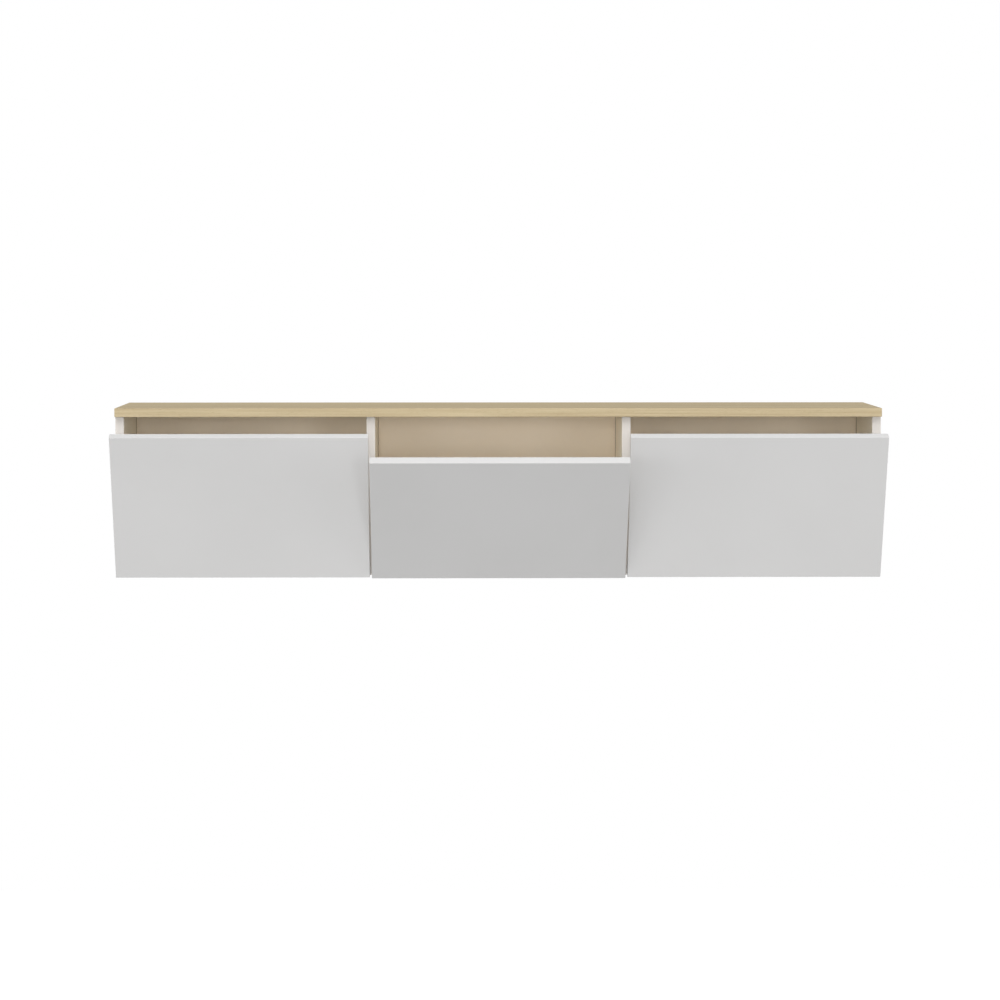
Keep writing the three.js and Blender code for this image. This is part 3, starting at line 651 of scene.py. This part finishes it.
def add_latch_pieces(bay):
    """The latch's plunger with its soft tip, the collar around it, and the strike with its screw."""
    low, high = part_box(f"{bay}_latch_plunger")
    tip = middle(f"{bay}_latch_plunger")
    tip.y = low.y / MM
    length = (high.y - low.y) / MM
    plunger = turned(PLUNGER_OUTLINE + [(PLUNGER_OUTLINE[-1][0], length), (0, length)])
    add_piece(f"{bay}_smooth_latch_plunger", f"{bay}_latch_button", "white_plastic", [
        (plunger, [facing(tip, (0, 1, 0))])], [f"{bay}_latch_plunger"])
    collar_place = tip.copy()
    collar_place.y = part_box(f"{bay}_latch_housing")[0].y / MM
    add_piece(f"{bay}_latch_collar", "carcass", "white_plastic", [
        (turned(COLLAR_OUTLINE, hollow=True), [facing(collar_place, (0, 1, 0))])])
    screw = cross_screw(STRIKE_SCREW_OUTLINE, **STRIKE_CROSS)
    on_flap = flap_frame(bay)
    strike = on_flap.inverted() @ middle(f"{bay}_latch_strike")
    strike.y = FLAP_INNER_FACE + SEAT_GAP
    place = on_flap @ facing(strike, (0, 1, 0))
    add_piece(f"{bay}_smooth_latch_strike", f"{bay}_front", "steel", [
        (turned(STRIKE_OUTLINE), [place]), (screw, [place])], [f"{bay}_latch_strike"])


def add_bumpers(bay):
    """Two thin domed bumpers on the flap's inner face, at its top corners."""
    on_flap = flap_frame(bay)
    height = FLAP_TOP - BUMPER_DROP
    dome = turned(BUMPER_OUTLINE, sides=SMALL_SIDES)
    places = [on_flap @ facing((end * BUMPER_SIDE, FLAP_INNER_FACE, height), (0, 1, 0))
              for end in (-1, 1)]
    add_piece(f"{bay}_bumpers", f"{bay}_front", "white_plastic", [(dome, places)])


def add_grommet(bay):
    """The cable ring: a thin flange with an eased rim, and its sleeve through the back panel."""
    place = middle(f"{bay}_cable_grommet")
    place.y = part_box("back_panel")[0].y / MM
    ring_shape = turned(GROMMET_OUTLINE, hollow=True, sides=WIDE_TURNED_SIDES)
    add_piece(f"{bay}_smooth_cable_grommet", "carcass", "white_plastic", [
        (ring_shape, [facing(place, (0, 1, 0))])], [f"{bay}_cable_grommet"])


def add_hanger_pieces(side):
    """The hanger's wood screws, and its height screw with a cross recess and a thread."""
    low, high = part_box(f"{side}_hanger_body")
    inward = -math.copysign(1, low.x)
    near = (low.x if inward > 0 else high.x) / MM
    wall_plate = near + inward * (WALL_PLATE_OUT - SEAT_GAP)
    places = [facing((wall_plate, HANGER_SCREW_DEPTH, end * HANGER_SCREW_SIDE), (inward, 0, 0))
              for end in (-1, 1)]
    add_piece(f"{side}_hanger_wood_screws", "carcass", "steel", [
        (flush_screw(PLATE_SCREW_DEPTH), places)])
    head = middle(f"{side}_hanger_screw")
    head.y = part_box(f"{side}_hanger_screw")[0].y / MM
    thread = [(THREAD_CREST if step % 2 else THREAD_ROOT, THREAD_TOP - THREAD_STEP * step)
              for step in range(THREAD_RINGS)]
    profile = HANGER_SCREW_HEAD + thread + HANGER_SCREW_FOOT
    add_piece(f"{side}_smooth_hanger_screw", "carcass", "steel", [
        (cross_screw(profile, **HANGER_CROSS), [facing(head, (0, -1, 0))])],
        [f"{side}_hanger_screw"])


def add_underside_caps():
    """Covers over the fittings under the bottom panel, at both ends and under the dividers."""
    low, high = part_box("bottom_panel")
    dividers = [middle(f"{side}_divider").x for side in SIDES]
    ends = [low.x / MM + CAP_END_MARGIN, high.x / MM - CAP_END_MARGIN]
    rows = [low.y / MM + CAP_DEPTH_MARGIN, high.y / MM - CAP_DEPTH_MARGIN]
    under = low.z / MM
    under_dividers, under_ends = (
        [facing((x, y, under), (0, 0, -1)) for x in columns for y in rows]
        for columns in (dividers, ends))
    add_piece("underside_caps", "carcass", "white_plastic", [
        (turned(CAP_OUTLINE), under_dividers), (turned(WIDE_CAP_OUTLINE), under_ends)])


for bay_name in BAYS:
    add_screws(bay_name)
    add_hinge_pins(bay_name)
    add_rod(bay_name)
    add_brake_screw(bay_name)
    add_latch_pieces(bay_name)
    add_bumpers(bay_name)
    add_grommet(bay_name)
for side_name in SIDES:
    add_hanger_pieces(side_name)
add_underside_caps()


# Studio
def seen_directly(tree):
    """1 for rays that show the background: from the camera, and off or through gloss and glass."""
    path = add_node(tree, "ShaderNodeLightPath").outputs
    seen = math_node(tree, "MAXIMUM", path["Is Camera Ray"], path["Is Glossy Ray"])
    return math_node(tree, "MAXIMUM", seen, path["Is Transmission Ray"])


def make_world():
    world = bpy.data.worlds.new("studio")
    bpy.context.scene.world = world
    world.use_nodes = True
    tree = world.node_tree
    backdrop = tree.nodes["Background"]
    backdrop.inputs["Color"].default_value = colour(1.0, 1.0, 1.0)
    feed(tree, backdrop.inputs["Strength"],
         to_range(tree, seen_directly(tree), 0.0, 1.0, SKY_STRENGTH, 1.0))


def make_light(name, strength, height, side, spread):
    """A soft light from far away. At strength 1 it shows a surface that faces it in its own colour."""
    lamp = bpy.data.lights.new(name, "SUN")
    lamp.energy = strength * math.pi
    lamp.angle = math.radians(spread)
    light = bpy.data.objects.new(name, lamp)
    light.rotation_euler = (math.radians(90 - height), 0, math.radians(side))
    bpy.context.scene.collection.objects.link(light)


def make_floor():
    """A plain pale floor. The camera sees it as white, less the shadow that the console throws."""
    material = bpy.data.materials.new("pale_floor")
    material.use_nodes = True
    tree = material.node_tree
    tree.nodes.remove(tree.nodes["Principled BSDF"])
    lit = add_node(tree, "ShaderNodeBsdfDiffuse", {"Color": colour(*[FLOOR_COLOUR] * 3)})
    seen_part = add_node(tree, "ShaderNodeBsdfDiffuse", {"Color": colour(*[FLOOR_SEEN_SHARE] * 3)})
    glow = add_node(tree, "ShaderNodeEmission", {
        "Color": colour(1.0, 1.0, 1.0), "Strength": FLOOR_SEEN_GLOW})
    seen = add_node(tree, "ShaderNodeAddShader", {
        0: seen_part.outputs[0], 1: glow.outputs[0]})
    mixed = add_node(tree, "ShaderNodeMixShader", {
        0: seen_directly(tree), 1: lit.outputs[0], 2: seen.outputs[0]})
    tree.links.new(mixed.outputs[0], tree.nodes["Material Output"].inputs["Surface"])
    mesh = bpy.data.meshes.new("floor")
    builder = bmesh.new()
    bmesh.ops.create_grid(builder, x_segments=1, y_segments=1, size=FLOOR_SIZE / 2)
    builder.to_mesh(mesh)
    builder.free()
    mesh.materials.append(material)
    floor = bpy.data.objects.new("floor", mesh)
    floor.location = (0, 0, cad_box[0][2] - FLOOR_DROP)
    bpy.context.scene.collection.objects.link(floor)


def make_camera():
    data = bpy.data.cameras.new("camera")
    data.sensor_width = SENSOR_WIDTH
    data.lens = FOCAL_PIXELS / IMAGE_PIXELS * SENSOR_WIDTH
    camera = bpy.data.objects.new("camera", data)
    camera.location = CAMERA_PLACE
    camera.rotation_euler = (
        math.radians(90 - CAMERA_DIP), 0, math.radians(-CAMERA_TURN))
    bpy.context.scene.collection.objects.link(camera)
    bpy.context.scene.camera = camera


make_world()
for light_name, light_values in SUNS.items():
    make_light(light_name, **light_values)
make_floor()
make_camera()
bpy.context.scene.view_settings.view_transform = "Standard"
